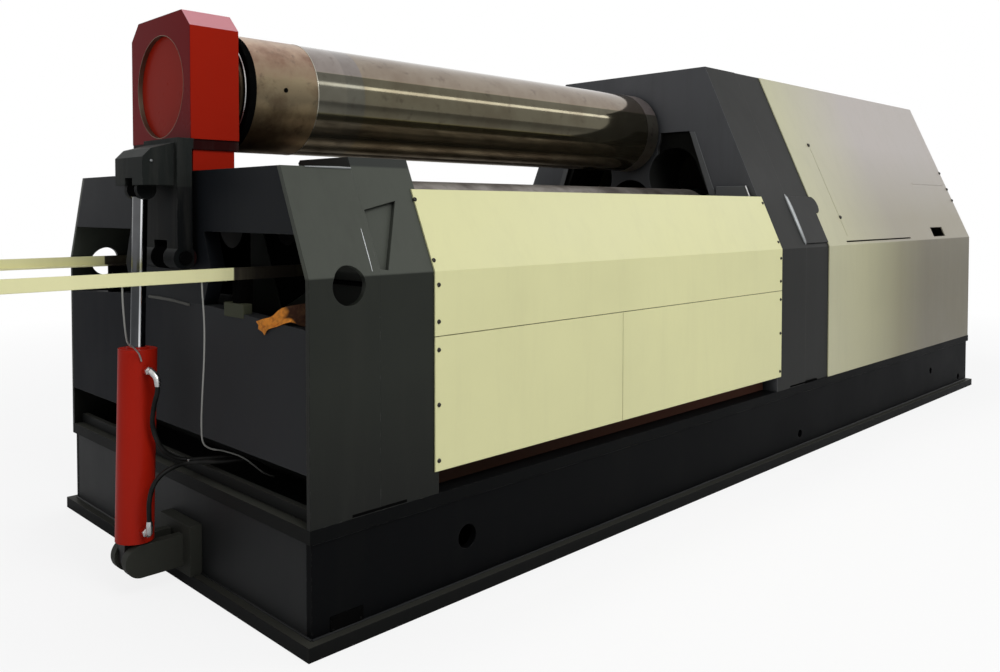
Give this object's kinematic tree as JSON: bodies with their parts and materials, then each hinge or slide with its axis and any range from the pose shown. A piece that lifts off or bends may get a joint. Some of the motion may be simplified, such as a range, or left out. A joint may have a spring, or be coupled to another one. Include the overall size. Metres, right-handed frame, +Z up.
{
  "type": "plate rolling machine",
  "caption": "Hydraulic plate rolling machine with a long top roll, two inclined side rolls, a bottom roll, a tilting drop end and a closed drive housing on a steel bed.",
  "frame": {"origin": "centre of the bed's underside, on the floor", "axes": "+X along the rolls from the drop end to the drive end, +Y across the machine to its rear, +Z up"},
  "size_m": [7.475, 2.13, 2.34],
  "materials": {
    "machine_dark": "satin",
    "cover_cream": "satin",
    "drop_end_red": "gloss",
    "roll_steel": "machined",
    "rod_chrome": "polished",
    "red_oxide": "matte",
    "hose_rubber": "matte",
    "wire_cover": "matte"
  },
  "bodies": {
    "root": {"bed_flange": "machine_dark", "bed_front_wall": "machine_dark", "bed_rear_wall": "machine_dark", "bed_left_wall": "machine_dark", "bed_right_wall": "machine_dark", "bed_top_plate": "machine_dark", "left_sill": "machine_dark", "left_end_plate": "machine_dark", "left_lower_plate": "machine_dark", "left_front_skin": "machine_dark", "left_rear_skin": "machine_dark", "left_top_plate": "machine_dark", "left_bearing_plate": "machine_dark", "hinge_bracket": "machine_dark", "cylinder_bracket": "machine_dark", "front_rail_supports": "machine_dark", "rear_rail_supports": "machine_dark", "right_bearing_plate": "machine_dark", "right_front_skin": "machine_dark", "right_rear_skin": "machine_dark", "right_top_plate": "machine_dark", "drop_end_seat": "drop_end_red", "hinge_pin": "roll_steel", "front_tie_beam": "red_oxide", "rear_tie_beam": "red_oxide", "front_upper_cover": "cover_cream", "front_lower_left_cover": "cover_cream", "front_lower_right_cover": "cover_cream", "rear_upper_cover": "cover_cream", "rear_lower_left_cover": "cover_cream", "rear_lower_right_cover": "cover_cream", "drive_front_cover": "cover_cream", "drive_rear_cover": "cover_cream", "drive_roof": "cover_cream", "drive_end_cover": "cover_cream", "front_rail": "cover_cream", "rear_rail": "cover_cream", "upper_hose": "hose_rubber", "lower_hose": "hose_rubber", "rail_wire": "wire_cover", "barrel_wire": "wire_cover"},
    "drop_end": {"drop_end_housing": "drop_end_red", "bearing_cover": "drop_end_red", "drop_end_lever": "machine_dark"},
    "tilt_barrel": {"cylinder_barrel": "drop_end_red"},
    "tilt_rod": {"cylinder_rod": "rod_chrome"},
    "top_roll": {"top_roll": "roll_steel"},
    "bottom_carriage": {"bottom_left_block": "machine_dark", "bottom_right_block": "machine_dark"},
    "bottom_roll": {"bottom_roll": "roll_steel"},
    "front_carriage": {"front_left_block": "machine_dark", "front_right_block": "machine_dark"},
    "front_roll": {"front_side_roll": "roll_steel"},
    "rear_carriage": {"rear_left_block": "machine_dark", "rear_right_block": "machine_dark"},
    "rear_roll": {"rear_side_roll": "roll_steel"}
  },
  "joints": [
    {"name": "drop_end_tilt", "type": "hinge", "parent": "root", "child": "drop_end", "pos_m": [-3.302, -0.14, 1.285], "axis": [0, -1, 0], "range_deg": [0, 80]},
    {"name": "barrel_swing", "type": "hinge", "parent": "root", "child": "tilt_barrel", "pos_m": [-3.45, -0.14, 0.14], "axis": [0, -1, 0], "range_deg": [0, 8.32], "deforming": ["upper_hose", "lower_hose", "barrel_wire"]},
    {"name": "rod_slide", "type": "slide", "parent": "tilt_barrel", "child": "tilt_rod", "axis": [0.0285, 0, 0.9996], "range_m": [-0.315, 0]},
    {"name": "top_roll_spin", "type": "hinge", "parent": "root", "child": "top_roll", "pos_m": [0, 0, 1.961], "axis": [1, 0, 0], "continuous": true},
    {"name": "bottom_roll_lift", "type": "slide", "parent": "root", "child": "bottom_carriage", "axis": [0, 0, 1], "range_m": [0, 0.08]},
    {"name": "bottom_roll_spin", "type": "hinge", "parent": "bottom_carriage", "child": "bottom_roll", "pos_m": [0, 0, 1.408], "axis": [1, 0, 0], "continuous": true},
    {"name": "front_roll_lift", "type": "slide", "parent": "root", "child": "front_carriage", "axis": [0, 0.4067, 0.9135], "range_m": [0, 0.28]},
    {"name": "front_roll_spin", "type": "hinge", "parent": "front_carriage", "child": "front_roll", "pos_m": [0, -0.44, 1.423], "axis": [1, 0, 0], "continuous": true},
    {"name": "rear_roll_lift", "type": "slide", "parent": "root", "child": "rear_carriage", "axis": [0, -0.4067, 0.9135], "range_m": [0, 0.28]},
    {"name": "rear_roll_spin", "type": "hinge", "parent": "rear_carriage", "child": "rear_roll", "pos_m": [0, 0.44, 1.423], "axis": [1, 0, 0], "continuous": true}
  ],
  "couplings": [
    {"joint": "barrel_swing", "follows": "drop_end_tilt", "ratio": 0.1038},
    {"joint": "rod_slide", "follows": "drop_end_tilt", "m_per_rad": -0.22516}
  ]
}
